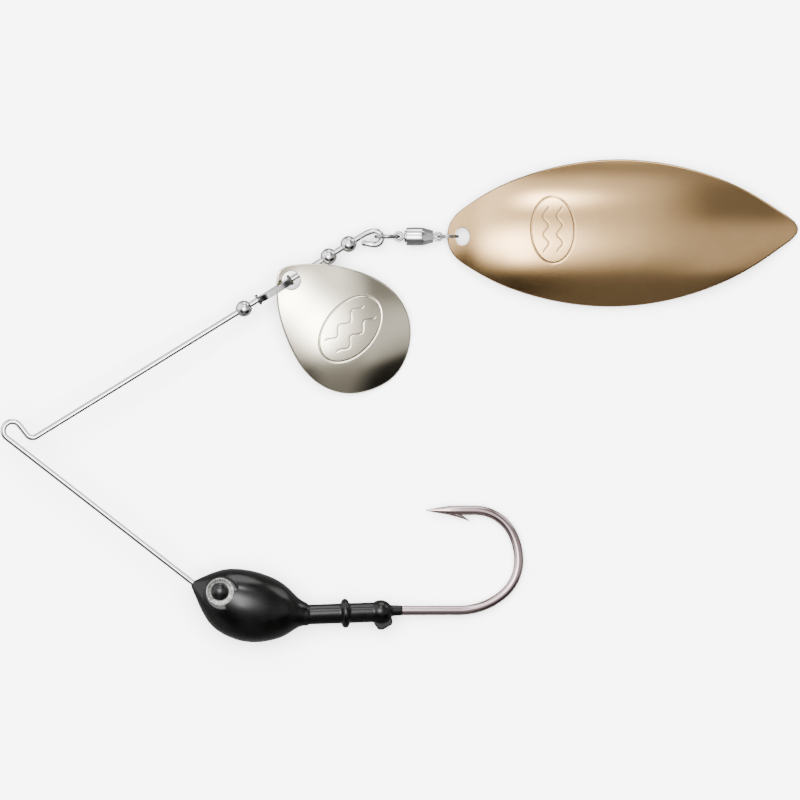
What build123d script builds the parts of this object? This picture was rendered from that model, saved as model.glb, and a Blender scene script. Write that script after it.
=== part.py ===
"""A spinnerbait fishing lure lying on its side on a table, in millimetres.

The origin is the centre of the line tie, the small bend that the fishing line is knotted to.
+X runs back from the line tie towards the long blade, +Y away from the lead head towards the
blades, and +Z up from the table. The bent wire lies in one plane, which leans a few degrees
because the thick head props up its front end.
"""

import os
from math import cos, radians, sin, sqrt

from build123d import *

# How the lure lies: the wire's plane, and the table below the line tie
LEAN_BACK = 4.97
LEAN_ASIDE = -0.83
TABLE = -7.65

# Wire form: its radii and turns from the end hooked through the hook's eye to the loop
WIRE_R = 0.45
HOOKED_END_BELOW = 2.2
HOOKED_END_ABOVE = 2.7
HOOKED_END_R = 0.9
ELBOW_R = 2.0
LOWER_ARM_HEADING = 142.1
LOWER_ARM = 42.3
TIE_R = 1.45
TIE_TURN = -194.1
TIE_LEG = 2.0
VALLEY_R = 1.1
VALLEY_TURN = 83.6
UPPER_ARM = 61.58
LOOP_EASE_R = 5.0
LOOP_EASE_TURN = -20
LOOP_R = 1.12
LOOP_TURN = -200.6
LOOP_TAIL = 1.9

# Hook
HOOK_R = 0.75
SHANK_Y = -28.8
EYE_X = 36.5
EYE_RING_R = 1.4
EYE_WIRE_R = 0.7
BEND_START_X = 71.6
BEND_ARCS = [(11.0, 40), (7.1, 50), (9.5, 28), (6.7, 62)]
POINT_STRAIGHT = 3.9
POINT_TAPER = 4.0
POINT_TIP_R = 0.08
# The barb's root, tip and heel in the hook's plane, from the start of the point's taper
BARB = [(0.1, -0.3), (3.1, -1.85), (2.4, -0.5)]
BARB_HALF_WIDTH = 0.35

# Lead head: x, middle y, half height and half thickness of its oval sections
HEAD_SECTIONS = [
    (28.8, -24.75, 0.65, 0.6),
    (30.7, -26.4, 3.1, 2.6),
    (33.6, -27.35, 5.05, 4.25),
    (37.4, -28.0, 5.7, 4.75),
    (41.3, -28.45, 5.05, 4.25),
    (44.2, -28.8, 3.6, 3.1),
    (46.1, -29.15, 2.15, 1.95),
    (47.3, -29.43, 1.75, 1.75),
]
COLLAR_X = 46.8
COLLAR_Y = -29.45
COLLAR_RISE = 2.0
COLLAR_R = 1.6
COLLAR_LENGTH = 12.2
RIDGE_AT = 6.5
RIDGE_R = 2.3
RIDGE_WIDTH = 1.1
KNOB_R = 1.85
# The skirt spur's outline in the wire's plane, from the knob's centre
SPUR = [(-1.0, -1.3), (-0.3, -2.5), (1.9, -1.2), (1.3, -0.4)]
SPUR_HALF_WIDTH = 0.8
STUB_R = 0.9
STUB_END_X = 62.4

# Eyes
SEAT_X, SEAT_Y = 33.2, -26.1
SEAT_R = 2.75
SEAT_Z = 4.25
FOIL_X, FOIL_Y = 32.9, -25.75
FOIL_R = 2.2
FOIL_THICK = 0.3
PUPIL_R = 1.3
PUPIL_HEIGHT = 0.5

# Beads on the upper arm, as distances from its start
BEAD_R = 1.3
BEAD_BORE_R = 0.5
LOWER_BEAD_AT = 39.07
MIDDLE_BEAD_AT = 55.05
UPPER_BEAD_AT = 58.8

# Clevis, a folded strap whose two ears run on the upper arm
CLEVIS_AT = 47.8
CLEVIS_LEAN = 4.4
CLEVIS_LENGTH = 6.0
CLEVIS_RISE = 3.0
CLEVIS_CORNER_R = 2.0
STRAP_WIDTH = 1.05
STRAP_THICK = 0.4
EAR_R = 0.9

# Blades: each half outline is (along, across) from the hole's centre, from root to tip
BLADE_THICK = 0.5
BLADE_GRID = (16, 8)
BLADE_MARGIN = 1.0
CUT_DEPTH = 20.0
COLORADO_ABOVE_WIRE = 1.2
COLORADO_SWING = -72.6
COLORADO_HOLE_R = 1.5
COLORADO_HALF = [
    (-2.5, 0), (-1.0, 2.45), (1.4, 4.75), (6.2, 7.75), (13.2, 9.6), (18.2, 8.15), (21.4, 4.8), (22.9, 0)
]
COLORADO_CROWN = 11.5
COLORADO_DEPTH = 1.4
COLORADO_ACROSS_R = 24.0
WILLOW_HOLE = (1.15, 1.45)
WILLOW_HALF = [
    (-2.4, 0), (-1.7, 2.6), (0.8, 4.9), (5.6, 7.7), (12, 10.05),
    (24.5, 11.8), (37.6, 9.75), (47.2, 5.45), (51.6, 2.55), (53.3, 1.2), (53.9, 0),
]
WILLOW_CROWN = 25.7
WILLOW_HALF_LENGTH = 28.1
WILLOW_DEPTH = 5.0
WILLOW_ACROSS_R = 18.0
WILLOW_SLOPE = 1.3
WILLOW_YAW = 1.3

# Swivel chain, as distances back from the front ring's centre
FRONT_RING_R = 1.8
FRONT_RING_WIRE_R = 0.3
LOOP_TO_FRONT_RING = 2.0
LOOP_TO_CHAIN = 0.22
POST_EYE_AT = 1.85
POST_EYE_R = 0.62
POST_EYE_WIRE_R = 0.22
POST_R = 0.3
BUSHING_FRONT = 2.75
BUSHING_NOSE_R = 0.95
BUSHING_HOLE_R = 0.38
BUSHING_BACK = 3.55
BARREL_FRONT = 3.05
BARREL_TAPER = 5.7
BARREL_BACK = 7.4
BARREL_R = 1.45
BARREL_BACK_R = 0.95
BORE_R = 1.1
BORE_BACK = 5.0
BALL_R = 0.35
BALL_ORBIT_R = 0.7
BALL_COUNT = 5
BALL_AT = 3.95
POST_HEAD_FRONT = 4.35
POST_HEAD_BACK = 4.75
POST_HEAD_R = 0.95
FIXED_EYE_AT = 8.15
FIXED_EYE_R = 0.6
FIXED_EYE_WIRE_R = 0.2
STEM_FRONT = 5.5
STEM_R = 0.3
REAR_RING_AT = 9.7
REAR_RING_R = 1.57
REAR_RING_WIRE_R = 0.25
WILLOW_HOLE_AT = 12.03
WILLOW_HOLE_RISE = 0.6

ON_TABLE = Rot(Y=LEAN_BACK) * Rot(X=LEAN_ASIDE)


# ---- Helpers ----


def polar(length, angle):
    return Vector(length * cos(radians(angle)), length * sin(radians(angle)))


def route(start, heading, steps):
    """Straight runs and tangent arcs in the wire's plane; returns edges, end point and end heading."""
    at, edges = start, []
    for step in steps:
        if len(step) == 1:
            end = at + polar(step[0], heading)
            edges.append(Edge.make_line(at, end))
        else:
            radius, turn = step
            to_centre = heading + (90 if turn > 0 else -90)
            centre = at + polar(radius, to_centre)
            middle = centre + polar(radius, to_centre + 180 + turn / 2)
            end = centre + polar(radius, to_centre + 180 + turn)
            edges.append(Edge.make_three_point_arc(at, middle, end))
            heading += turn
        at = end
    return edges, at, heading


def rod(edges, radius):
    path = Wire(edges)
    return sweep(Plane(origin=path @ 0, z_dir=path % 0) * Circle(radius), path=path)


def along_x(radius, length):
    """A cylinder along X, centred on the origin."""
    return Cylinder(radius, length, rotation=(0, 90, 0))


def turned(start, *steps):
    """A turned piece along X: each step is the distance where it ends and its radius."""
    piece, front = Part(), start
    for back, radius in steps:
        piece += Pos(X=(front + back) / 2) * along_x(radius, back - front)
        front = back
    return piece


def outline_from(origin, offsets):
    """A closed outline through points given as offsets from the origin."""
    return make_face(Polyline(*(origin + Vector(*offset) for offset in offsets), close=True))


# ---- Where things are on the wire ----

TIE_START = polar(TIE_R, LOWER_ARM_HEADING + 90)
TIE_EDGES, ARM_START, ARM_HEADING = route(
    TIE_START, LOWER_ARM_HEADING, [(TIE_R, TIE_TURN), (TIE_LEG,), (VALLEY_R, VALLEY_TURN)]
)
ARM_END = ARM_START + polar(UPPER_ARM, ARM_HEADING)
EASE_CENTRE = ARM_END + polar(LOOP_EASE_R, ARM_HEADING - 90)
LOOP_CENTRE = EASE_CENTRE + polar(LOOP_EASE_R - LOOP_R, ARM_HEADING + LOOP_EASE_TURN + 90)


def on_arm(distance):
    """A frame on the upper arm: X along the wire towards the loop, Z square to the wire's plane."""
    return Pos(ARM_START + polar(distance, ARM_HEADING)) * Rot(Z=ARM_HEADING)


CLEVIS_FRAME = ON_TABLE * on_arm(CLEVIS_AT) * Rot(X=CLEVIS_LEAN)
COLORADO_FRAME = CLEVIS_FRAME * Pos(Z=COLORADO_ABOVE_WIRE) * Rot(Z=COLORADO_SWING)
LOOP_ON_TABLE = (ON_TABLE * Pos(LOOP_CENTRE)).position
CHAIN_FRAME = Pos(
    LOOP_ON_TABLE.X + LOOP_TO_FRONT_RING,
    LOOP_ON_TABLE.Y + LOOP_TO_CHAIN,
    TABLE + FRONT_RING_R + FRONT_RING_WIRE_R,
)
WILLOW_FRAME = (
    CHAIN_FRAME * Pos(X=WILLOW_HOLE_AT, Z=WILLOW_HOLE_RISE) * Rot(Z=WILLOW_YAW) * Rot(Y=WILLOW_SLOPE)
)


# ---- Wire form, hook and head ----


def wire_frame():
    """The bent wire, from its end hooked through the hook's eye to the loop at the swivel."""
    eye_below = Vector(EYE_X, SHANK_Y, -HOOKED_END_BELOW)
    eye_above = Vector(EYE_X, SHANK_Y, HOOKED_END_ABOVE)
    elbow = TIE_START + polar(LOWER_ARM, LOWER_ARM_HEADING - 180)
    inner = FilletPolyline(eye_below, eye_above, elbow, TIE_START, radius=[HOOKED_END_R, ELBOW_R])
    loop = [(LOOP_EASE_R, LOOP_EASE_TURN), (LOOP_R, LOOP_TURN), (LOOP_TAIL,)]
    outer, _, _ = route(ARM_START, ARM_HEADING, [(UPPER_ARM,), *loop])
    return rod(inner.edges() + TIE_EDGES + outer, WIRE_R)


def hook():
    """The eye ring, shank, round bend and barbed point."""
    shank_start = Vector(EYE_X + EYE_RING_R, SHANK_Y)
    steps = [(BEND_START_X - shank_start.X,), *BEND_ARCS, (POINT_STRAIGHT,)]
    edges, taper_start, heading = route(shank_start, 0, steps)
    eye = Pos(EYE_X, SHANK_Y) * Torus(EYE_RING_R, EYE_WIRE_R)
    taper = Plane(origin=taper_start, z_dir=polar(1, heading)) * Cone(
        HOOK_R, POINT_TIP_R, POINT_TAPER, align=(Align.CENTER, Align.CENTER, Align.MIN)
    )
    barb = extrude(outline_from(taper_start, BARB), BARB_HALF_WIDTH, both=True)
    return rod(edges, HOOK_R) + eye + taper + barb


def skirt_collar():
    """The neck, ridge and round knob that hold a skirt, turned about X."""
    ridge_front, ridge_back = RIDGE_AT - RIDGE_WIDTH / 2, RIDGE_AT + RIDGE_WIDTH / 2
    knob_front = COLLAR_LENGTH - sqrt(KNOB_R**2 - COLLAR_R**2)
    profile = [
        Line((0, 0), (0, COLLAR_R)),
        Line((0, COLLAR_R), (ridge_front, COLLAR_R)),
        ThreePointArc((ridge_front, COLLAR_R), (RIDGE_AT, RIDGE_R), (ridge_back, COLLAR_R)),
        Line((ridge_back, COLLAR_R), (knob_front, COLLAR_R)),
        ThreePointArc((knob_front, COLLAR_R), (COLLAR_LENGTH, KNOB_R), (COLLAR_LENGTH + KNOB_R, 0)),
        Line((COLLAR_LENGTH + KNOB_R, 0), (0, 0)),
    ]
    return revolve(make_face(profile), Axis.X)


def head_blank():
    """The lead body with its skirt collar, before the wire and the hook are cut out of it."""
    ovals = [
        Plane(origin=(x, y, 0), x_dir=(0, 1, 0), z_dir=(1, 0, 0)) * Ellipse(high, thick)
        for x, y, high, thick in HEAD_SECTIONS
    ]
    body = loft(ovals)
    seat = Pos(SEAT_X, SEAT_Y) * Cylinder(SEAT_R, 2 * SEAT_Z)
    collar = Pos(COLLAR_X, COLLAR_Y) * Rot(Z=COLLAR_RISE) * skirt_collar()
    knob_at = Vector(COLLAR_X, COLLAR_Y) + polar(COLLAR_LENGTH, COLLAR_RISE)
    spur = extrude(outline_from(knob_at, SPUR), SPUR_HALF_WIDTH, both=True)
    stub_length = STUB_END_X - knob_at.X
    stub = Pos(knob_at.X + stub_length / 2, SHANK_Y) * along_x(STUB_R, stub_length)
    return body + seat + collar + spur + stub


def eye_pieces(side):
    """A foil disc on the seat and a domed pupil on the foil; side is +1 or -1."""
    ball_r = (PUPIL_R**2 + PUPIL_HEIGHT**2) / (2 * PUPIL_HEIGHT)
    foil = Pos(Z=FOIL_THICK / 2) * Cylinder(FOIL_R, FOIL_THICK)
    ball = Pos(Z=FOIL_THICK + PUPIL_HEIGHT - ball_r) * Sphere(ball_r)
    above = Pos(Z=FOIL_THICK + PUPIL_HEIGHT / 2) * Cylinder(FOIL_R, PUPIL_HEIGHT)
    flip = Rot(X=0 if side > 0 else 180)
    place = Pos(FOIL_X, FOIL_Y, side * SEAT_Z) * flip
    return place * foil, place * (ball & above)


# ---- Pieces on the upper arm ----


def bead(distance, bore_r):
    return on_arm(distance) * (Sphere(BEAD_R) - along_x(bore_r, 4 * BEAD_R))


def clevis():
    """The strap and its two ears, with X along the wire and the second ear at the origin."""
    middle = Pos(X=-CLEVIS_LENGTH / 2)
    outer = RectangleRounded(
        CLEVIS_LENGTH + STRAP_THICK, 2 * CLEVIS_RISE + STRAP_THICK, CLEVIS_CORNER_R
    )
    inner = RectangleRounded(
        CLEVIS_LENGTH - STRAP_THICK, 2 * CLEVIS_RISE - STRAP_THICK, CLEVIS_CORNER_R - STRAP_THICK
    )
    upper_half = Pos(Y=CLEVIS_RISE) * Rectangle(2 * CLEVIS_LENGTH, 2 * CLEVIS_RISE)
    strap = middle * Rot(X=90) * extrude((outer - inner) & upper_half, STRAP_WIDTH / 2, both=True)
    ear = along_x(EAR_R, STRAP_THICK)
    bore = middle * along_x(BEAD_BORE_R, 2 * CLEVIS_LENGTH)
    return strap + ear + Pos(X=-CLEVIS_LENGTH) * ear - bore


# ---- Blades ----


def colorado_height(u, v):
    """Height of the round blade's middle surface above its hole, u along it and v across."""
    x = (u - COLORADO_CROWN) / COLORADO_CROWN
    along = 2 * x**2 - max(-x, 0) ** 4
    return COLORADO_DEPTH * (1 - along) - v**2 / (2 * COLORADO_ACROSS_R)


def willow_height(u, v):
    """Height of the long blade's middle surface above its hole, u along it and v across."""

    def along(at):
        x = (at - WILLOW_CROWN) / WILLOW_HALF_LENGTH
        return -WILLOW_DEPTH / 2 * (x**2 + x**4)

    return along(u) - along(0) - v**2 / (2 * WILLOW_ACROSS_R)


def blade(half_outline, height, hole):
    """A curved sheet cut to a symmetrical outline, with the hole's centre at the origin."""
    columns, rows = BLADE_GRID
    root, tip = half_outline[0][0] - BLADE_MARGIN, half_outline[-1][0] + BLADE_MARGIN
    side = max(across for _, across in half_outline) + BLADE_MARGIN
    us = [root + (tip - root) * i / columns for i in range(columns + 1)]
    vs = [side * (2 * j / rows - 1) for j in range(rows + 1)]
    grid = [[(u, v, height(u, v) - BLADE_THICK / 2) for u in us] for v in vs]
    skin = Face.make_surface_from_array_of_points(grid, tol=1e-3)
    sheet = extrude(skin, BLADE_THICK, dir=(0, 0, 1))
    other_half = [(u, -v) for u, v in reversed(half_outline[1:-1])]
    outline = make_face(Spline(*half_outline, *other_half, periodic=True))
    blank = extrude(outline, CUT_DEPTH, both=True)
    return (sheet & blank) - extrude(hole, CUT_DEPTH, both=True)


# ---- Swivel chain ----


def ring(at, radius, wire_r):
    """A wire ring standing on edge across the chain."""
    return Pos(X=at) * Rot(X=90) * Torus(radius, wire_r)


def swivel_post():
    eye = Pos(X=POST_EYE_AT) * Torus(POST_EYE_R, POST_EYE_WIRE_R)
    shaft = turned(POST_EYE_AT + POST_EYE_R, (POST_HEAD_FRONT, POST_R), (POST_HEAD_BACK, POST_HEAD_R))
    return eye + shaft


def swivel_bushing():
    sleeve = turned(BUSHING_FRONT, (BARREL_FRONT, BUSHING_NOSE_R), (BUSHING_BACK, BORE_R))
    return sleeve - turned(BUSHING_FRONT, (BUSHING_BACK, BUSHING_HOLE_R))


def swivel_fixed_eye():
    eye = Pos(X=FIXED_EYE_AT) * Torus(FIXED_EYE_R, FIXED_EYE_WIRE_R)
    return eye + turned(STEM_FRONT, (FIXED_EYE_AT - FIXED_EYE_R, STEM_R))


def swivel_barrel():
    body = turned(BARREL_FRONT, (BARREL_TAPER, BARREL_R))
    taper_length = BARREL_BACK - BARREL_TAPER
    taper = Pos(X=BARREL_TAPER + taper_length / 2) * Cone(
        BARREL_R, BARREL_BACK_R, taper_length, rotation=(0, 90, 0)
    )
    bore = turned(BARREL_FRONT, (BORE_BACK, BORE_R))
    return body + taper - bore - swivel_fixed_eye()


def swivel_balls():
    ball = Pos(X=BALL_AT, Y=BALL_ORBIT_R) * Sphere(BALL_R)
    return [Rot(X=360 * i / BALL_COUNT) * ball for i in range(BALL_COUNT)]


# ---- The whole lure ----


def pieces():
    wire, barbed_hook = wire_frame(), hook()
    foil_left, pupil_left = eye_pieces(1)
    foil_right, pupil_right = eye_pieces(-1)
    in_wire_plane = {
        "wire_frame": wire,
        "hook": barbed_hook,
        "head": head_blank() - wire - barbed_hook - foil_left - foil_right,
        "eye_foil_left": foil_left,
        "eye_foil_right": foil_right,
        "eye_pupil_left": pupil_left,
        "eye_pupil_right": pupil_right,
        "bead_lower": bead(LOWER_BEAD_AT, WIRE_R),
        "bead_middle": bead(MIDDLE_BEAD_AT, BEAD_BORE_R),
        "bead_upper": bead(UPPER_BEAD_AT, BEAD_BORE_R),
    }
    in_chain = {
        "ring_front": ring(0, FRONT_RING_R, FRONT_RING_WIRE_R),
        "swivel_post": swivel_post(),
        "swivel_bushing": swivel_bushing(),
        "swivel_barrel": swivel_barrel(),
        "swivel_fixed_eye": swivel_fixed_eye(),
        "ring_rear": ring(REAR_RING_AT, REAR_RING_R, REAR_RING_WIRE_R),
    }
    placed = {name: ON_TABLE * piece for name, piece in in_wire_plane.items()}
    placed |= {name: CHAIN_FRAME * piece for name, piece in in_chain.items()}
    placed["swivel_balls"] = Compound(children=[CHAIN_FRAME * ball for ball in swivel_balls()])
    placed["clevis"] = CLEVIS_FRAME * clevis()
    round_blade = blade(COLORADO_HALF, colorado_height, Circle(COLORADO_HOLE_R))
    placed["colorado_blade"] = COLORADO_FRAME * round_blade
    long_blade = blade(WILLOW_HALF, willow_height, Ellipse(*WILLOW_HOLE))
    placed["willow_blade"] = WILLOW_FRAME * long_blade
    return placed


def main():
    os.makedirs("parts", exist_ok=True)
    for name, piece in pieces().items():
        export_step(piece, f"parts/{name}.step")


if __name__ == "__main__":
    main()
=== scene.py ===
"""Looks for a spinnerbait lure lying on its side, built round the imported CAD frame.

Shapes are worked out in millimetres in the CAD's own frames and written to the meshes in metres.
"""

import math
from dataclasses import dataclass

import bmesh
import bpy
import numpy as np
from mathutils import Matrix, Vector
from mathutils.geometry import delaunay_2d_cdt


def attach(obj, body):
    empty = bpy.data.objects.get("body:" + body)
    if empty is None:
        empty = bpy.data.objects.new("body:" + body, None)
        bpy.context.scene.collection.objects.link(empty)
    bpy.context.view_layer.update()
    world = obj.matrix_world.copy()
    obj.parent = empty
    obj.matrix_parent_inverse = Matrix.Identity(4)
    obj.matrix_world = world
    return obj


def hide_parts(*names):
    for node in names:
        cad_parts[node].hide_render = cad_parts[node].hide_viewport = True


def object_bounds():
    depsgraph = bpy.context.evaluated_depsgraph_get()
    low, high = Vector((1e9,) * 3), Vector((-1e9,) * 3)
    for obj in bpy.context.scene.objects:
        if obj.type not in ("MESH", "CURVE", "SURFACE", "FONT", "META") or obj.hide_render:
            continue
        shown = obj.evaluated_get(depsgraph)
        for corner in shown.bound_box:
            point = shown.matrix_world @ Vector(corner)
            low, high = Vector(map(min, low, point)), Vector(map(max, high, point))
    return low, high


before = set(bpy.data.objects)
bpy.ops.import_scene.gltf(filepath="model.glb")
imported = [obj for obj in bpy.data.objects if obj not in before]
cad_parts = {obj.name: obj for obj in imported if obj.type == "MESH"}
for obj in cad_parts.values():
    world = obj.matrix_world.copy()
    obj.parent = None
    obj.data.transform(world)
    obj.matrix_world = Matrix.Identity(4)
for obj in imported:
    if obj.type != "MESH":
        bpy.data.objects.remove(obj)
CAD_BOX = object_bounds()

MM = 0.001
TAU = 2 * math.pi

# ---- Sizes of the CAD model, in millimetres ----

LEAN_BACK, LEAN_ASIDE, TABLE = 4.97, -0.83, -7.65

WIRE_R = 0.45
HOOKED_END_BELOW, HOOKED_END_ABOVE, HOOKED_END_R, ELBOW_R = 2.2, 2.7, 0.9, 2.0
LOWER_ARM_HEADING, LOWER_ARM = 142.1, 42.3
TIE_R, TIE_TURN, TIE_LEG = 1.45, -194.1, 2.0
VALLEY_R, VALLEY_TURN = 1.1, 83.6
UPPER_ARM, LOOP_EASE_R, LOOP_EASE_TURN = 61.58, 5.0, -20
LOOP_R, LOOP_TURN, LOOP_TAIL = 1.12, -200.6, 1.9

HOOK_R, SHANK_Y, EYE_X, EYE_RING_R, EYE_WIRE_R = 0.75, -28.8, 36.5, 1.4, 0.7
BEND_START_X = 71.6
BEND_ARCS = [(11.0, 40), (7.1, 50), (9.5, 28), (6.7, 62)]
POINT_STRAIGHT, POINT_TAPER, POINT_TIP_R = 3.9, 4.0, 0.08

HEAD_SECTIONS = [
    (28.8, -24.75, 0.65, 0.6),
    (30.7, -26.4, 3.1, 2.6),
    (33.6, -27.35, 5.05, 4.25),
    (37.4, -28.0, 5.7, 4.75),
    (41.3, -28.45, 5.05, 4.25),
    (44.2, -28.8, 3.6, 3.1),
    (46.1, -29.15, 2.15, 1.95),
    (47.3, -29.43, 1.75, 1.75),
]
COLLAR_X, COLLAR_Y, COLLAR_RISE = 46.8, -29.45, 2.0
COLLAR_R, COLLAR_LENGTH = 1.6, 12.2
RIDGE_AT, RIDGE_R, RIDGE_WIDTH, KNOB_R = 6.5, 2.36, 1.1, 1.93
SPUR = [(-1.15, -1.0), (-1.0, -1.9), (-0.35, -2.85), (0.25, -2.9), (1.8, -2.0), (1.85, -1.3), (1.4, -0.4)]
SPUR_HALF_WIDTH = 1.0
STUB_R, STUB_END_X = 0.9, 62.4

SEAT_X, SEAT_Y, SEAT_R, SEAT_Z = 33.2, -26.1, 2.75, 4.25
FOIL_X, FOIL_Y, FOIL_R, FOIL_THICK = 32.9, -25.75, 2.2, 0.3
PUPIL_R, PUPIL_HEIGHT = 1.3, 0.5

BEAD_R, BEAD_BORE_R = 1.3, 0.5
LOWER_BEAD_AT, MIDDLE_BEAD_AT, UPPER_BEAD_AT = 39.07, 55.05, 58.8

CLEVIS_AT, CLEVIS_LEAN, CLEVIS_LENGTH, CLEVIS_RISE = 47.8, 4.4, 6.0, 3.0
CLEVIS_CORNER_R, STRAP_WIDTH, STRAP_THICK, EAR_R = 2.0, 1.05, 0.4, 0.9

BLADE_THICK = 0.5
COLORADO_ABOVE_WIRE, COLORADO_SWING, COLORADO_HOLE_R = 1.2, -72.6, 1.5
COLORADO_HALF = [
    (-2.5, 0), (-1.0, 2.45), (1.4, 4.75), (6.2, 7.75), (13.2, 9.6), (18.2, 8.15), (21.4, 4.8), (22.9, 0)
]
COLORADO_CROWN, COLORADO_DEPTH, COLORADO_ACROSS_R = 11.5, 1.4, 24.0
WILLOW_HOLE = (1.15, 1.45)
WILLOW_HALF = [
    (-2.4, 0), (-1.7, 2.6), (0.8, 4.9), (5.6, 7.7), (12, 10.05),
    (24.5, 11.8), (37.6, 9.75), (47.2, 5.45), (51.6, 2.55), (53.3, 1.2), (53.9, 0),
]
WILLOW_CROWN, WILLOW_HALF_LENGTH, WILLOW_DEPTH = 25.7, 28.1, 5.0
WILLOW_ACROSS_R, WILLOW_SLOPE, WILLOW_YAW = 18.0, 1.3, 1.3

FRONT_RING_R, FRONT_RING_WIRE_R, LOOP_TO_FRONT_RING, LOOP_TO_CHAIN = 1.8, 0.3, 2.0, 0.22
POST_EYE_AT, POST_EYE_R, POST_EYE_WIRE_R, POST_R = 1.85, 0.62, 0.22, 0.3
BUSHING_FRONT, BUSHING_BACK, BUSHING_NOSE_R, BUSHING_HOLE_R = 2.75, 3.55, 0.95, 0.38
BARREL_FRONT, BARREL_TAPER, BARREL_BACK = 3.05, 5.7, 7.4
BARREL_R, BARREL_BACK_R, BORE_R, BORE_BACK = 1.45, 0.95, 1.1, 5.0
POST_HEAD_FRONT, POST_HEAD_BACK, POST_HEAD_R = 4.35, 4.75, 0.95
FIXED_EYE_AT, FIXED_EYE_R, FIXED_EYE_WIRE_R = 8.15, 0.6, 0.2
STEM_FRONT, STEM_R = 5.5, 0.3
REAR_RING_AT, REAR_RING_R = 9.7, 1.57
WILLOW_HOLE_AT, WILLOW_HOLE_RISE = 12.03, 0.6


# ---- Frames and routes ----


def rot(axis, degrees):
    return Matrix.Rotation(math.radians(degrees), 4, axis)


def pos(x=0.0, y=0.0, z=0.0):
    return Matrix.Translation((x, y, z))


def polar(length, angle):
    return np.array([length * math.cos(math.radians(angle)), length * math.sin(math.radians(angle)), 0.0])


def unit(vectors):
    return vectors / np.linalg.norm(vectors, axis=-1, keepdims=True)


def circle(count):
    """The cosines and sines of evenly spaced angles right round."""
    angles = TAU * np.arange(count) / count
    return np.cos(angles), np.sin(angles)


STRAIGHT_STEP = 1.5


def route(start, heading, steps, spacing=0.12):
    """Points along straight runs and tangent arcs in the wire's plane, the end and its heading."""
    at = np.array(start, float)
    points = [at]
    for step in steps:
        if len(step) == 1:
            end = at + polar(step[0], heading)
            parts = max(1, int(step[0] / STRAIGHT_STEP))
            points += [at + (end - at) * i / parts for i in range(1, parts + 1)]
        else:
            radius, turn = step
            to_centre = heading + (90 if turn > 0 else -90)
            centre = at + polar(radius, to_centre)
            parts = max(6, int(radius * math.radians(abs(turn)) / spacing))
            spokes = [to_centre + 180 + turn * i / parts for i in range(1, parts + 1)]
            points += [centre + polar(radius, spoke) for spoke in spokes]
            heading += turn
        at = points[-1]
    return points, at, heading


def rounded(corners, radii, parts=14):
    """A line through corners in space, each inner corner rounded to its radius."""
    corners = [np.array(c, float) for c in corners]
    points = [corners[0]]
    for before, corner, after, radius in zip(corners, corners[1:], corners[2:], radii):
        a, b = unit(before - corner), unit(after - corner)
        half = math.acos(max(-1.0, min(1.0, float(a @ b)))) / 2
        start, end = corner + a * radius / math.tan(half), corner + b * radius / math.tan(half)
        centre = corner + unit(a + b) * radius / math.sin(half)
        for i in range(parts + 1):
            spoke = (start - centre) * (1 - i / parts) + (end - centre) * i / parts
            points.append(centre + unit(spoke) * radius)
    return points + [corners[-1]]


ON_TABLE = rot("Y", LEAN_BACK) @ rot("X", LEAN_ASIDE)
TIE_START = polar(TIE_R, LOWER_ARM_HEADING + 90)
TIE_POINTS, ARM_START, ARM_HEADING = route(
    TIE_START, LOWER_ARM_HEADING, [(TIE_R, TIE_TURN), (TIE_LEG,), (VALLEY_R, VALLEY_TURN)]
)
ARM_END = ARM_START + polar(UPPER_ARM, ARM_HEADING)
EASE_CENTRE = ARM_END + polar(LOOP_EASE_R, ARM_HEADING - 90)
LOOP_CENTRE = EASE_CENTRE + polar(LOOP_EASE_R - LOOP_R, ARM_HEADING + LOOP_EASE_TURN + 90)


def on_arm(distance):
    """A frame on the upper arm: X along the wire towards the loop, Z square to the wire's plane."""
    return pos(*(ARM_START + polar(distance, ARM_HEADING))) @ rot("Z", ARM_HEADING)


CLEVIS_FRAME = ON_TABLE @ on_arm(CLEVIS_AT) @ rot("X", CLEVIS_LEAN)
COLORADO_FRAME = CLEVIS_FRAME @ pos(z=COLORADO_ABOVE_WIRE) @ rot("Z", COLORADO_SWING)
LOOP_ON_TABLE = ON_TABLE @ Vector(LOOP_CENTRE)
CHAIN_FRAME = pos(
    LOOP_ON_TABLE.x + LOOP_TO_FRONT_RING,
    LOOP_ON_TABLE.y + LOOP_TO_CHAIN,
    TABLE + FRONT_RING_R + FRONT_RING_WIRE_R,
)
WILLOW_FRAME = (
    CHAIN_FRAME @ pos(WILLOW_HOLE_AT, 0, WILLOW_HOLE_RISE) @ rot("Z", WILLOW_YAW) @ rot("Y", WILLOW_SLOPE)
)


# ---- Materials ----

# How noise is stretched: evenly, or into the fine lines of metal rolled and polished lengthwise
EVEN, ROLLED = (1, 1, 1), (0.25, 2.5, 1)


class Nodes:
    """Adds nodes to a tree, their inputs given as numbers or as other nodes' sockets."""

    def __init__(self, tree):
        self.tree = tree

    def add(self, kind, inputs=None, **settings):
        node = self.tree.nodes.new("ShaderNode" + kind)
        for key, value in settings.items():
            setattr(node, key, value)
        for key, value in (inputs or {}).items():
            self.put(node.inputs[key], value)
        return node

    def put(self, socket, value):
        if isinstance(value, bpy.types.NodeSocket):
            self.tree.links.new(value, socket)
        else:
            socket.default_value = value

    def maths(self, operation, one, other):
        return self.add("Math", {0: one, 1: other}, operation=operation).outputs[0]

    def vectors(self, operation, one, other, output=0):
        return self.add("VectorMath", {0: one, 1: other}, operation=operation).outputs[output]

    def span(self, value, low, high, to_low=0.0, to_high=1.0, eased=False):
        """The value carried from low-high to another range, in a straight line or eased at both ends."""
        ranges = {"From Min": low, "From Max": high, "To Min": to_low, "To Max": to_high}
        kind = "SMOOTHSTEP" if eased else "LINEAR"
        return self.add("MapRange", {"Value": value, **ranges}, interpolation_type=kind).outputs["Result"]


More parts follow.
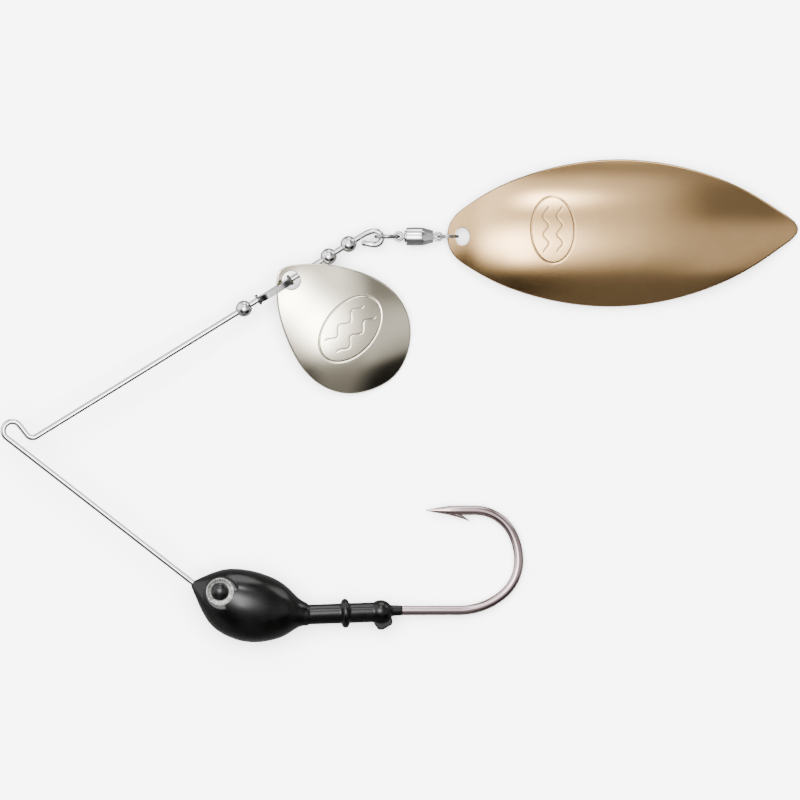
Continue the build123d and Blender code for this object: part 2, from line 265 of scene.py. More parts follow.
class Shader(Nodes):
    """A Principled material whose detail reads the grain attribute: each piece's own millimetres."""

    def __init__(self, name, **constants):
        self.material = bpy.data.materials.new(name)
        self.material.use_nodes = True
        super().__init__(self.material.node_tree)
        self.shader = self.tree.nodes["Principled BSDF"]
        for socket, value in constants.items():
            self.shader.inputs[socket.replace("_", " ")].default_value = value
        self.grain = self.add("Attribute", attribute_name="grain").outputs["Vector"]
        self.relief = None

    def noise(self, scale, detail=3.0, stretch=EVEN, roughness=0.55, distortion=0.0):
        """Cloudy noise of the given cells per millimetre, from 0 to 1."""
        inputs = {"Scale": scale, "Detail": detail, "Roughness": roughness, "Distortion": distortion}
        inputs["Vector"] = self.vectors("MULTIPLY", self.grain, stretch)
        return self.add("TexNoise", inputs).outputs["Fac"]

    def mix(self, share, one, other):
        node = self.add("Mix", data_type="RGBA")
        self.put(node.inputs["Factor"], share)
        for label, colour in (("A", one), ("B", other)):
            self.put([i for i in node.inputs if i.name == label and i.type == "RGBA"][0], colour)
        return [o for o in node.outputs if o.type == "RGBA"][0]

    def set(self, socket, value):
        self.put(self.shader.inputs[socket], value)

    def bump(self, height, microns):
        """Adds relief of the given depth."""
        inputs = {"Height": height, "Distance": microns * 1e-6}
        if self.relief is not None:
            inputs["Normal"] = self.relief
        self.relief = self.add("Bump", inputs).outputs["Normal"]
        self.set("Normal", self.relief)


def rgb(*channels):
    """A colour from 0-255 sRGB channels."""
    linear = [c / 255 for c in channels]
    return tuple(c / 12.92 if c <= 0.04045 else ((c + 0.055) / 1.055) ** 2.4 for c in linear) + (1.0,)


def metal(name, bright, dull, rough, scratch, smudge, coat=0.0, grain=EVEN):
    """Plated metal: cloudy smudges, fine scratches along the grain and, on the blades, clear lacquer.

    rough is the range of roughness, scratch a depth in microns and smudge a number per millimetre.
    """
    s = Shader(name, Metallic=1.0, Coat_Weight=coat, Coat_Roughness=0.06, Coat_IOR=1.6)
    clouds = s.noise(smudge, detail=4.0, distortion=0.6)
    fine = s.noise(7.0, detail=5.0, stretch=grain, roughness=0.7)
    s.set("Base Color", s.mix(s.span(clouds, 0.35, 0.75), bright, dull))
    grime = s.maths("ADD", s.maths("MULTIPLY", fine, 0.5), s.maths("MULTIPLY", clouds, 0.5))
    s.set("Roughness", s.span(grime, 0.3, 0.7, *rough))
    s.bump(fine, scratch)
    return s.material


def gloss_paint():
    """Baked gloss paint over cast lead: flow ripples, dust nibs and thin spots on the sharp edges."""
    s = Shader("gloss_paint", Specular_IOR_Level=0.22, Coat_Weight=0.3, Coat_Roughness=0.06, Coat_IOR=1.45)
    ripple = s.noise(0.55, detail=2.0, distortion=0.4)
    nibs = s.span(s.noise(2.6, detail=2.0), 0.72, 0.8)
    edges = s.span(s.add("NewGeometry").outputs["Pointiness"], 0.56, 0.66, 0.0, 0.5)
    worn = s.maths("MULTIPLY", edges, s.span(s.noise(1.8, detail=4.0), 0.45, 0.65))
    black = s.mix(s.span(ripple, 0.3, 0.7), rgb(1, 1, 1), rgb(3, 3, 3))
    s.set("Base Color", s.mix(worn, black, rgb(12, 12, 11)))
    s.set("Roughness", s.span(ripple, 0.3, 0.7, 0.16, 0.26))
    s.bump(ripple, 14.0)
    s.bump(nibs, 5.0)
    return s.material


def foil():
    """Creased silver foil: crinkles between the modelled rays, and glue's dark line round the pupil."""
    s = Shader("foil", Metallic=1.0)
    crinkle = s.noise(2.4, detail=5.0, distortion=1.2)
    silver = s.mix(s.span(crinkle, 0.3, 0.7), rgb(226, 226, 222), rgb(104, 104, 102))
    radius = s.vectors("LENGTH", s.grain, (0, 0, 0), "Value")
    s.set("Base Color", s.mix(s.span(radius, PUPIL_R + 0.02, PUPIL_R + 0.3), rgb(30, 30, 30), silver))
    s.set("Roughness", s.span(crinkle, 0.3, 0.7, 0.18, 0.34))
    s.bump(crinkle, 22.0)
    return s.material


def resin():
    """Domed black resin with a faint haze."""
    s = Shader("resin", Specular_IOR_Level=0.25, Coat_Weight=0.3, Coat_Roughness=0.1, Coat_IOR=1.45)
    haze = s.noise(1.4)
    s.set("Base Color", s.mix(s.span(haze, 0.3, 0.7), rgb(2, 2, 2), rgb(8, 8, 9)))
    s.set("Roughness", s.span(haze, 0.3, 0.7, 0.16, 0.34))
    s.bump(haze, 6.0)
    return s.material


NICKEL, NICKEL_DULL = (0.95, 0.87, 0.69, 1), (0.9, 0.81, 0.62, 1)
COPPER, COPPER_DULL = (0.71, 0.445, 0.195, 1), (0.64, 0.385, 0.155, 1)
BLACK_NICKEL, BLACK_NICKEL_DULL = (0.6, 0.47, 0.48, 1), (0.42, 0.31, 0.32, 1)
MATERIALS = {
    "stainless_wire": metal("drawn_wire", rgb(232, 232, 234), rgb(206, 206, 208), (0.07, 0.16), 0.5, 0.4),
    "polished_steel": metal("polished_steel", rgb(236, 236, 238), rgb(205, 204, 204), (0.05, 0.14), 0.4, 0.5),
    # The rings' and swivel wires' steel is polished steel made darker: its darkness is painted shade.
    "shaded_drawn_steel": metal("shaded_drawn_steel", rgb(190, 190, 190), rgb(146, 145, 145), (0.08, 0.18), 0.5, 0.5),
    # The clevis's steel is polished steel made darker: its darkness is painted shade, not a different metal.
    "shaded_stamped_steel": metal("shaded_stamped_steel", rgb(124, 123, 122), rgb(78, 78, 78), (0.12, 0.22), 0.6, 0.5),
    "chrome_plate": metal("chrome_plate", rgb(240, 240, 242), rgb(214, 214, 216), (0.04, 0.1), 0.3, 0.6),
    "nickel_plate": metal("nickel_plate", NICKEL, NICKEL_DULL, (0.1, 0.16), 0.3, 0.16, 0.5, ROLLED),
    "copper_plate": metal("copper_plate", COPPER, COPPER_DULL, (0.13, 0.19), 0.3, 0.14, 0.6, ROLLED),
    "black_nickel": metal("black_nickel", BLACK_NICKEL, BLACK_NICKEL_DULL, (0.12, 0.22), 0.8, 0.3),
    "gloss_black_paint": gloss_paint(),
    "silver_foil": foil(),
    "black_pupil": resin(),
}


# ---- Meshes ----


class Shape:
    """Points in millimetres, the faces on them, and a grain vector for each point."""

    def __init__(self, points, faces, grain=None):
        self.points = np.array(points, float)
        self.faces = [tuple(f) for f in faces]
        self.grain = self.points.copy() if grain is None else np.array(grain, float)

    def __add__(self, other):
        shift = len(self.points)
        faces = self.faces + [tuple(i + shift for i in f) for f in other.faces]
        return Shape(np.vstack([self.points, other.points]), faces, np.vstack([self.grain, other.grain]))

    def at(self, matrix):
        m = np.array(matrix)
        return Shape(self.points @ m[:3, :3].T + m[:3, 3], self.faces, self.grain)


def skin(rings, closed=False, grain=None):
    """Quads between rings of equal length; the first and last ring are filled unless it is closed."""
    rings = [np.array(r, float) for r in rings]
    count, sides = len(rings), len(rings[0])
    faces = []
    for i in range(count if closed else count - 1):
        a, b = i * sides, (i + 1) % count * sides
        faces += [(a + j, b + j, b + (j + 1) % sides, a + (j + 1) % sides) for j in range(sides)]
    if not closed:
        faces += [tuple(range(sides)), tuple(reversed(range((count - 1) * sides, count * sides)))]
    return Shape(np.vstack(rings), faces, None if grain is None else np.vstack(grain))


# How fast the grain changes round a wire and along it
GRAIN_ROUND, GRAIN_ALONG = 1.6, 0.12


def tube(path, radii, sides=28, closed=False, up=(0.0, 0.0, 1.0), section=None):
    """A round or shaped bar along a path, its grain running lengthwise; ends get a small chamfer."""
    path = np.array(path, float)
    radii = np.full(len(path), radii, float) if np.isscalar(radii) else np.array(radii, float)
    if not closed:
        edge = min(0.12, 0.3 * radii[0], 0.3 * radii[-1])
        in_front = path[0] + unit(path[1] - path[0]) * edge
        in_back = path[-1] + unit(path[-2] - path[-1]) * edge
        path = np.vstack([path[:1], in_front, path[1:-1], in_back, path[-1:]])
        radii = np.concatenate([[radii[0] - edge], [radii[0]], radii[1:-1], [radii[-1]], [radii[-1] - edge]])
    tangents = unit(np.roll(path, -1, 0) - np.roll(path, 1, 0) if closed else np.gradient(path, axis=0))
    side = np.array(up)
    if abs(side @ tangents[0]) > 0.9:
        side = np.array([1.0, 0.0, 0.0])
    ring = np.stack(circle(sides), 1) if section is None else np.array(section)
    travelled = np.concatenate([[0.0], np.cumsum(np.linalg.norm(np.diff(path, axis=0), axis=1))])
    rings, grains = [], []
    for point, tangent, radius, along in zip(path, tangents, radii, travelled):
        side = unit(side - (side @ tangent) * tangent)
        other = np.cross(tangent, side)
        rings.append(point + radius * (ring[:, :1] * side + ring[:, 1:] * other))
        grains.append(np.column_stack([ring * GRAIN_ROUND, np.full(len(ring), along * GRAIN_ALONG)]))
    shape = skin(rings, closed, grains)
    shape.faces = [f[::-1] for f in shape.faces]
    return shape


def turned(profile, sides, wave=None):
    """Rings about X from (x, radius) steps; wave(x, angle) scales the radius for facets."""
    angles = TAU * np.arange(sides) / sides
    rings = []
    for x, radius in profile:
        r = np.full(sides, radius) if wave is None else radius * np.array([wave(x, a) for a in angles])
        rings.append(np.column_stack([np.full(sides, x), r * np.cos(angles), r * np.sin(angles)]))
    return rings


def lathe(profile, sides=72):
    """A turned shape about X, closed at both ends."""
    return skin(turned(profile, sides))


def bored(outside, inside, sides=72, wave=None):
    """A turned shape with a hole through it: outside steps one way and inside steps back."""
    return skin(turned(outside, sides, wave) + turned(inside, sides), closed=True)


def corner(x, r, size, way, parts=4):
    """Steps of a rounded edge of the given size at (x, r), in a lathe's profile.

    way "start" turns from an end face onto the side, and "end" from the side onto an end face.
    """
    angles = [math.pi / 2 * i / parts for i in range(parts + 1)]
    if way == "start":
        return [(x + size * (1 - math.cos(a)), r - size * (1 - math.sin(a))) for a in angles]
    return [(x - size * (1 - math.sin(a)), r - size * (1 - math.cos(a))) for a in angles]


def in_scene(name, data):
    """A new object with the given data, linked into the scene."""
    made = bpy.data.objects.new(name, data)
    bpy.context.scene.collection.objects.link(made)
    return made


def plain_mesh(name, points, faces):
    mesh = bpy.data.meshes.new(name)
    mesh.from_pydata(points, [], faces)
    return mesh


def write_mesh(name, shape, at=Matrix.Identity(4), normals=None, sharp=None):
    """A shape in millimetres as a smooth-shaded object in metres, with its grain and its normals."""
    m = np.array(at)
    points = (shape.points @ m[:3, :3].T + m[:3, 3]) * MM
    mesh = plain_mesh(name, points.tolist(), shape.faces)
    mesh.update()
    mesh.shade_smooth()
    grain = mesh.attributes.new("grain", "FLOAT_VECTOR", "POINT")
    grain.data.foreach_set("vector", shape.grain.astype(np.float32).ravel())
    if normals is not None:
        mesh.normals_split_custom_set_from_vertices((normals @ m[:3, :3].T).tolist())
    elif sharp is not None:
        mesh.set_sharp_from_angle(angle=math.radians(sharp))
    return in_scene(name, mesh)


def finished(piece, body, nodes, slot, material=None):
    """Gives a piece its body, the CAD nodes it stands for and its finish."""
    piece.data.materials.clear()
    piece.data.materials.append(MATERIALS[material or slot])
    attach(piece, body)
    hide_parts(*nodes)
    return piece


def modify(piece, kind, **settings):
    modifier = piece.modifiers.new(kind.lower(), kind)
    for key, value in settings.items():
        setattr(modifier, key, value)


def bake_modifiers(piece):
    """Applies a piece's modifiers to its mesh."""
    evaluated = piece.evaluated_get(bpy.context.evaluated_depsgraph_get())
    mesh = bpy.data.meshes.new_from_object(evaluated)
    piece.modifiers.clear()
    piece.data = mesh


def local_grain(piece):
    """Writes a piece's grain from where its points are."""
    mesh = piece.data
    points = np.zeros(len(mesh.vertices) * 3, np.float32)
    mesh.vertices.foreach_get("co", points)
    if "grain" in mesh.attributes:
        mesh.attributes.remove(mesh.attributes["grain"])
    mesh.attributes.new("grain", "FLOAT_VECTOR", "POINT").data.foreach_set("vector", points / MM)


# ---- Wire form ----


def wire_shape():
    eye_below, eye_above = (EYE_X, SHANK_Y, -HOOKED_END_BELOW), (EYE_X, SHANK_Y, HOOKED_END_ABOVE)
    elbow = TIE_START + polar(LOWER_ARM, LOWER_ARM_HEADING - 180)
    inner = rounded([eye_below, eye_above, elbow, TIE_START], [HOOKED_END_R, ELBOW_R])
    loop = [(LOOP_EASE_R, LOOP_EASE_TURN), (LOOP_R, LOOP_TURN), (LOOP_TAIL,)]
    outer = route(ARM_START, ARM_HEADING, [(UPPER_ARM,), *loop])[0]
    runs = [inner[:-1], TIE_POINTS, outer[1:]]
    path = [inner[0]]
    for point in [p for run in runs for p in run][1:]:
        gap = np.linalg.norm(point - path[-1])
        parts = max(1, int(gap / STRAIGHT_STEP))
        if gap > 1e-6:
            start = path[-1]
            path += [start + (point - start) * i / parts for i in range(1, parts + 1)]
    return tube(path, WIRE_R, sides=32)


wire_form = write_mesh("wire_form", wire_shape(), ON_TABLE, sharp=50)
finished(wire_form, "frame", ["wire_frame"], "stainless_wire")


# ---- Hook ----

# The barb's middle line, from the start of the point's taper, and its half-widths along it
BARB = [(-1.5, -0.08), (-0.7, -0.26), (0.2, -0.48), (1.1, -0.76), (1.9, -1.1), (2.55, -1.46), (3.1, -1.85)]
BARB_WIDTHS = [0.2, 0.34, 0.38, 0.36, 0.27, 0.15, 0.03]
BARB_FLATNESS = 0.95


def hook_shape():
    """Shank, forged bend, ground point and the barb cut from the wire."""
    shank_start = np.array([EYE_X + EYE_RING_R, SHANK_Y, 0.0])
    steps = [(BEND_START_X - shank_start[0],), *BEND_ARCS, (POINT_STRAIGHT,)]
    path, taper_start, heading = route(shank_start, 0, steps, spacing=0.3)
    radii = [HOOK_R] * len(path)
    for i in range(1, 17):
        share = i / 16
        path.append(taper_start + polar(POINT_TAPER * share, heading))
        radii.append(HOOK_R + (POINT_TIP_R - HOOK_R) * share**1.12)
    body = tube(path, radii, sides=36)
    eye_path = [(EYE_X + EYE_RING_R * c, SHANK_Y + EYE_RING_R * s, 0) for c, s in zip(*circle(72))]
    eye = tube(eye_path, EYE_WIRE_R, sides=24, closed=True)
    path = [taper_start + np.array([x, y, 0.0]) for x, y in smooth_line(BARB, 24)]
    radii = np.interp(np.linspace(0, 1, len(path)), np.linspace(0, 1, len(BARB_WIDTHS)), BARB_WIDTHS)
    flat = np.stack(circle(20), 1) * (BARB_FLATNESS, 1)
    return body + eye + tube(path, radii, section=flat)


def smooth_line(points, count):
    """Points evenly spaced on a natural cubic spline through the given ones."""
    p = np.array(points, float)
    knots = np.concatenate([[0], np.cumsum(np.linalg.norm(np.diff(p, axis=0), axis=1))])
    at = np.linspace(0, knots[-1], count)
    return np.stack([cubic(knots, p[:, k], at) for k in range(p.shape[1])], 1)


def cubic(knots, values, at):
    """A natural cubic spline's values."""
    n, h = len(knots), np.diff(knots)
    matrix, right = np.eye(n), np.zeros(n)
    for i in range(1, n - 1):
        matrix[i, i - 1], matrix[i, i], matrix[i, i + 1] = h[i - 1], 2 * (h[i - 1] + h[i]), h[i]
        right[i] = 6 * ((values[i + 1] - values[i]) / h[i] - (values[i] - values[i - 1]) / h[i - 1])
    bends = np.linalg.solve(matrix, right)
    k = np.clip(np.searchsorted(knots, at) - 1, 0, n - 2)
    a, b = (knots[k + 1] - at) / h[k], (at - knots[k]) / h[k]
    ends = a * values[k] + b * values[k + 1]
    return ends + ((a**3 - a) * bends[k] + (b**3 - b) * bends[k + 1]) * h[k] ** 2 / 6


finished(write_mesh("hook_body", hook_shape(), ON_TABLE, sharp=50), "frame", ["hook"], "black_nickel")


# ---- Head ----

HEAD_VOXEL, HEAD_SMOOTHING = 0.1, 8
HEAD_SIDES, SEAM_HEIGHT, SEAM_SHARPNESS = 160, 0.09, 0.0012
POCKET_GAP = 0.06


def head_body():
    """The cast body: oval sections with a faint parting line where the mould halves met."""
    table = np.array(HEAD_SECTIONS)
    xs = np.linspace(table[0, 0], table[-1, 0], 150)
    middle, high, thick = (cubic(table[:, 0], table[:, k], xs) for k in (1, 2, 3))
    across, up = circle(HEAD_SIDES)
    seam = SEAM_HEIGHT * sum(np.exp(-(((across + side) / SEAM_SHARPNESS) ** 2)) for side in (-1, 1))
    rings = []
    for x, y, h, t in zip(xs, middle, high, thick):
        flash = 1 + seam * min(1.0, h / 3) / max(h, 1.0)
        rings.append(np.column_stack([np.full(HEAD_SIDES, x), y + h * across * flash, t * up * flash]))
    centre = rings[0].mean(0)
    nose = centre + (rings[0] - centre) * 0.55 + np.array([-0.18, 0.1, 0])
    return skin([nose] + rings)


def collar_profile():
    """Neck, ridge and knob, with the casting's soft corners."""
    ridge_front, ridge_back = RIDGE_AT - RIDGE_WIDTH / 2, RIDGE_AT + RIDGE_WIDTH / 2
    knob_front = COLLAR_LENGTH - math.sqrt(KNOB_R**2 - COLLAR_R**2)
    steps = [(-0.6, 0.9), (0.0, COLLAR_R)]
    steps += [(x, COLLAR_R) for x in np.linspace(0.5, ridge_front - 0.1, 8)]
    rise = RIDGE_R - COLLAR_R
    radius = (RIDGE_WIDTH**2 / 4 + rise**2) / (2 * rise)
    for x in np.linspace(ridge_front, ridge_back, 13):
        steps.append((x, RIDGE_R - radius + math.sqrt(max(0.0, radius**2 - (x - RIDGE_AT) ** 2))))
    steps += [(x, COLLAR_R) for x in np.linspace(ridge_back + 0.1, knob_front - 0.05, 7)]
    for a in np.linspace(math.acos(-(COLLAR_LENGTH - knob_front) / KNOB_R), 0.04, 18):
        steps.append((COLLAR_LENGTH + KNOB_R * math.cos(a), KNOB_R * math.sin(a)))
    return steps


def head_shape():
    collar_at = pos(COLLAR_X, COLLAR_Y) @ rot("Z", COLLAR_RISE)
    knob = collar_at @ Vector((COLLAR_LENGTH, 0, 0))
    seat_profile = corner(-SEAT_Z, SEAT_R, 0.22, "start") + corner(SEAT_Z, SEAT_R, 0.22, "end")
    seat = lathe([(-SEAT_Z, 0.5)] + seat_profile + [(SEAT_Z, 0.5)])
    levels = (-SPUR_HALF_WIDTH, SPUR_HALF_WIDTH)
    spur = skin([[(knob.x + x, knob.y + y, z) for x, y in SPUR] for z in levels])
    stub_steps = [(knob.x, 0.95), (knob.x + 1.9, STUB_R - 0.02), (STUB_END_X - 0.5, STUB_R - 0.06)]
    stub_steps += [(STUB_END_X, HOOK_R + 0.06), (STUB_END_X + 0.12, HOOK_R)]
    stub = lathe(stub_steps, sides=48).at(pos(0, SHANK_Y, 0))
    collar = lathe(collar_profile(), sides=96).at(collar_at)
    return head_body() + collar + seat.at(pos(SEAT_X, SEAT_Y) @ rot("Y", -90)) + spur + stub


def outward(shape):
    """The same shape with every shell's faces turned outwards."""
    mesh = plain_mesh("turning", shape.points.tolist(), shape.faces)
    work = bmesh.new()
    work.from_mesh(mesh)
    bmesh.ops.recalc_face_normals(work, faces=work.faces)
    faces = [tuple(v.index for v in f.verts) for f in work.faces]
    work.free()
    bpy.data.meshes.remove(mesh)
    return Shape(shape.points, faces, shape.grain)


def fused(piece, voxel, smoothing):
    """Joins overlapping shells into one cast skin, its inner corners softened."""
    modify(piece, "REMESH", mode="VOXEL", voxel_size=voxel * MM, use_smooth_shade=True)
    modify(piece, "SMOOTH", factor=0.5, iterations=smoothing)
    bake_modifiers(piece)


def cut(piece, cutter):
    """Takes the cutter's space out of the piece."""
    modify(piece, "BOOLEAN", operation="DIFFERENCE", solver="EXACT", object=cutter)
    bake_modifiers(piece)
    bpy.data.objects.remove(cutter)


head = write_mesh("head_casting", outward(head_shape()))
fused(head, HEAD_VOXEL, HEAD_SMOOTHING)
pocket_r = FOIL_R + POCKET_GAP
pocket = lathe([(SEAT_Z - 0.02, pocket_r), (SEAT_Z + 0.35, pocket_r), (SEAT_Z + 2.5, FOIL_R + 0.5)])
for side in (1, -1):
    place = pos(FOIL_X, FOIL_Y) @ rot("Y", -90 * side)
    cut(head, write_mesh("pocket", outward(pocket.at(place))))
local_grain(head)
head.data.transform(ON_TABLE)
head.data.shade_smooth()
head.data.set_sharp_from_angle(angle=math.radians(40))
finished(head, "frame", ["head"], "gloss_black_paint")


# ---- Eyes ----

FOIL_RAYS, FOIL_CREASE = 44, 0.13
# (radius, height) from the middle of the face outwards, then over the rolled rim and back underneath
FOIL_FACE = [(0.2, 0.02), (PUPIL_R * 0.95, 0.03), (1.5, 0.06), (1.75, 0.12), (1.95, 0.17), (2.08, 0.2)]
FOIL_RIM_AND_BACK = [(2.14, 0.235), (2.18, 0.21), (FOIL_R, 0.15), (FOIL_R, 0.02), (2.1, 0.0), (0.2, 0.0)]


def foil_shape():
    """A thin dished disc, pressed into fine rays, with a rolled rim."""
    sides = FOIL_RAYS * 6
    across, up = circle(sides)
    saw = np.abs((np.arange(sides) % 6) / 3 - 1) * 2 - 1
    rings = []
    for r, z in FOIL_FACE:
        ray = FOIL_CREASE * saw * np.clip((r - 1.25) / 0.4, 0, 1) * np.clip((2.12 - r) / 0.1, 0, 1)
        rings.append(np.column_stack([r * across, r * up, z + ray]))
    for r, z in FOIL_RIM_AND_BACK:
        rings.append(np.column_stack([r * across, r * up, np.full(sides, z)]))
    return skin(rings)


def pupil_shape():
    """A domed drop of resin with a tight rounded foot."""
    dome = (PUPIL_R**2 + PUPIL_HEIGHT**2) / (2 * PUPIL_HEIGHT)
    steps = [(0.0, 0.4), (0.0, PUPIL_R - 0.05), (0.04, PUPIL_R)]
    for a in np.linspace(math.asin(PUPIL_R / dome) * 0.985, 0.01, 24):
        steps.append((0.02 + dome * math.cos(a) - dome + PUPIL_HEIGHT, dome * math.sin(a)))
    return lathe(steps, sides=96).at(rot("Y", -90))


for side, word in ((1, "left"), (-1, "right")):
    place = ON_TABLE @ pos(FOIL_X, FOIL_Y, side * SEAT_Z) @ rot("X", 0 if side > 0 else 180)
    eye_foil = write_mesh(f"foil_eye_{word}", outward(foil_shape()), place)
    finished(eye_foil, "frame", [f"eye_foil_{word}"], "silver_foil")
    lift = place @ pos(z=FOIL_THICK)
    pupil = write_mesh(f"pupil_{word}", outward(pupil_shape()), lift, sharp=60)
    finished(pupil, "frame", [f"eye_pupil_{word}"], "black_pupil")


# ---- Beads and clevis ----


def bead_shape(bore):
    """A drilled ball: its hole has a rounded lip, and a faint turning band runs round the middle."""
    lip = math.asin((bore + 0.12) / BEAD_R)
    steps = []
    for a in np.linspace(math.pi - lip, lip, 44):
        band = 0.012 * math.exp(-((math.cos(a) / 0.07) ** 2))
        steps.append((BEAD_R * math.cos(a), (BEAD_R - band) * math.sin(a)))
    end = BEAD_R * math.cos(lip)
    outside = [(-end + 0.03, bore + 0.03), (-end - 0.015, bore + 0.07)] + steps
    inside = [(end + 0.015, bore + 0.07), (end - 0.03, bore + 0.03), (end - 0.1, bore), (-end + 0.1, bore)]
    return bored(outside, inside)


for name, node, distance, bore, body in (
    ("stop_bead", "bead_lower", LOWER_BEAD_AT, WIRE_R, "frame"),
    ("loose_bead", "bead_middle", MIDDLE_BEAD_AT, BEAD_BORE_R, "middle_bead"),
    ("end_bead", "bead_upper", UPPER_BEAD_AT, BEAD_BORE_R, "upper_bead"),
):
    ball = write_mesh(name, outward(bead_shape(bore)), ON_TABLE @ on_arm(distance), sharp=50)
    finished(ball, body, [node], "polished_steel")


CLEVIS_COLUMNS, CLEVIS_ROWS, EAR_RINGS, CLEVIS_EDGE = 8, 59, 5, 0.09


def clevis_shape():
    """The folded strap's middle surface: two drilled ears joined by a narrower bent bridge."""
    half = STRAP_WIDTH / 2
    neck = math.sqrt(EAR_R**2 - half**2)
    across = np.linspace(-half, half, CLEVIS_COLUMNS + 1)
    mouth = math.atan2(half, neck)
    back_angles = np.linspace(mouth, TAU - mouth, 40)[1:-1]
    rim = [(neck, w) for w in across] + [(EAR_R * math.cos(a), EAR_R * math.sin(a)) for a in back_angles]
    flat, faces = [], []
    count = len(rim)
    for share in np.linspace(0, 1, EAR_RINGS + 1):
        for s, w in rim:
            scale = BEAD_BORE_R / math.hypot(s, w) * (1 - share) + share
            flat.append((s * scale, w * scale))
    for i in range(EAR_RINGS):
        a, b = i * count, (i + 1) * count
        faces += [(a + j, a + (j + 1) % count, b + (j + 1) % count, b + j) for j in range(count)]
    ear_faces = list(faces)
    middle_r = CLEVIS_CORNER_R - STRAP_THICK / 2
    straight, run = CLEVIS_RISE - middle_r, CLEVIS_LENGTH - 2 * middle_r
    quarter = math.pi / 2 * middle_r
    length = 2 * (straight + quarter) + run
    start = len(flat)
    bridge = np.linspace(neck, length - neck, CLEVIS_ROWS + 1)
    flat += [(s, w * (1 - 0.1 * math.sin(math.pi * s / length))) for s in bridge for w in across]
    for i in range(CLEVIS_ROWS):
        a = start + i * (CLEVIS_COLUMNS + 1)
        b = a + CLEVIS_COLUMNS + 1
        faces += [(a + j, b + j, b + 1 + j, a + 1 + j) for j in range(CLEVIS_COLUMNS)]
    shift = len(flat)
    flat += [(length - s, w) for s, w in flat[:start]]
    faces += [tuple(reversed([k + shift for k in f])) for f in ear_faces]

    def bent(s, w):
        """Where a point of the flat strap goes: up one ear, round a corner, along and down again."""
        if s > length - straight:
            return 0.0, w, length - s
        if s < straight:
            return -CLEVIS_LENGTH, w, s
        s -= straight
        if s < quarter:
            a = s / middle_r
            return -CLEVIS_LENGTH + middle_r * (1 - math.cos(a)), w, straight + middle_r * math.sin(a)
        s -= quarter
        if s < run:
            return -CLEVIS_LENGTH + middle_r + s, w, CLEVIS_RISE
        a = (s - run) / middle_r
        return -middle_r * (1 - math.sin(a)), w, straight + middle_r * math.cos(a)

    return Shape([bent(s, w) for s, w in flat], faces, [(s, w, 0) for s, w in flat])


def thickened(piece, thickness, edge):
    """Turns a welded middle surface into a sheet of metal with rounded edges."""
    work = bmesh.new()
    work.from_mesh(piece.data)
    bmesh.ops.remove_doubles(work, verts=work.verts, dist=1e-7)
    bmesh.ops.recalc_face_normals(work, faces=work.faces)
    work.to_mesh(piece.data)
    work.free()
    modify(piece, "SOLIDIFY", thickness=thickness * MM, offset=0)
    modify(piece, "BEVEL", width=edge * MM, segments=3, limit_method="ANGLE", angle_limit=math.radians(50))
    bake_modifiers(piece)
    piece.data.shade_smooth()
    piece.data.set_sharp_from_angle(angle=math.radians(60))
    return piece


clevis = write_mesh("folded_clevis", clevis_shape(), CLEVIS_FRAME)
thickened(clevis, STRAP_THICK, CLEVIS_EDGE)
# The clevis gets the darker copy of polished steel, as painted shade.
finished(clevis, "clevis", ["clevis"], "polished_steel", material="shaded_stamped_steel")


# ---- Blades ----


def colorado_height(u, v):
    x = (u - COLORADO_CROWN) / COLORADO_CROWN
    along = 2 * x**2 - np.maximum(-x, 0) ** 4
    return COLORADO_DEPTH * (1 - along) - v**2 / (2 * COLORADO_ACROSS_R)


def willow_height(u, v):
    def along(at):
        x = (at - WILLOW_CROWN) / WILLOW_HALF_LENGTH
        return -WILLOW_DEPTH / 2 * (x**2 + x**4)

    return along(u) - along(0.0) - v**2 / (2 * WILLOW_ACROSS_R)


def closed_spline(points, count):
    """Evenly spaced points on a smooth closed curve through the given ones."""
    p = np.array(points, float)
    ahead = np.roll(p, -1, 0)
    gap = np.linalg.norm(ahead - p, axis=1)[:, None]
    before, rise, one = np.roll(gap, 1, 0), (ahead - p) / gap, np.eye(len(p))
    matrix = 2 * (before + gap) * one + gap * np.roll(one, -1, 1) + before * np.roll(one, 1, 1)
    slopes = np.linalg.solve(matrix, 3 * (gap * np.roll(rise, 1, 0) + before * rise))
    t = np.linspace(0, 1, 200, endpoint=False)[:, None]
    start, end = (1 + 2 * t) * (1 - t) ** 2, t * t * (3 - 2 * t)
    leave, arrive = t * (1 - t) ** 2, t * t * (t - 1)
    pieces = zip(p, ahead, slopes * gap, np.roll(slopes, -1, 0) * gap)
    dense = np.vstack([start * a + end * b + leave * c + arrive * d for a, b, c, d in pieces])
    wrapped = np.vstack([dense, dense[:1]])
    lengths = np.concatenate([[0], np.cumsum(np.linalg.norm(np.diff(wrapped, axis=0), axis=1))])
    wanted = np.linspace(0, lengths[-1], count, endpoint=False)
    return np.stack([np.interp(wanted, lengths, wrapped[:, k]) for k in (0, 1)], 1)


def ellipse_loop(centre, half, count, grow=0.0):
    """Points round an ellipse, or round the line a constant distance outside it."""
    across, up = circle(count)
    oval = np.stack([across * half[0], up * half[1]], 1)
    out = np.stack([across * half[1], up * half[0]], 1)
    return np.array(centre) + oval + grow * unit(out)


def fade(distance, softness):
    """1 where the distance is well below zero and 0 where it is well above."""
    return 1 / (1 + np.exp(np.clip(distance / softness, -40, 40)))


OVAL_LINE, WAVE_LINE, PANEL_SOFTNESS, WAVE_END_SOFTNESS = 0.1, 0.085, 0.035, 0.06
WAVE_MARGIN, WAVE_STEP = 0.25, 0.11
OVAL_FLANKS = (-0.24, -0.12, -0.05, 0.05, 0.12, 0.24)
WAVE_FLANKS = (-0.18, -0.07, 0.07, 0.18)


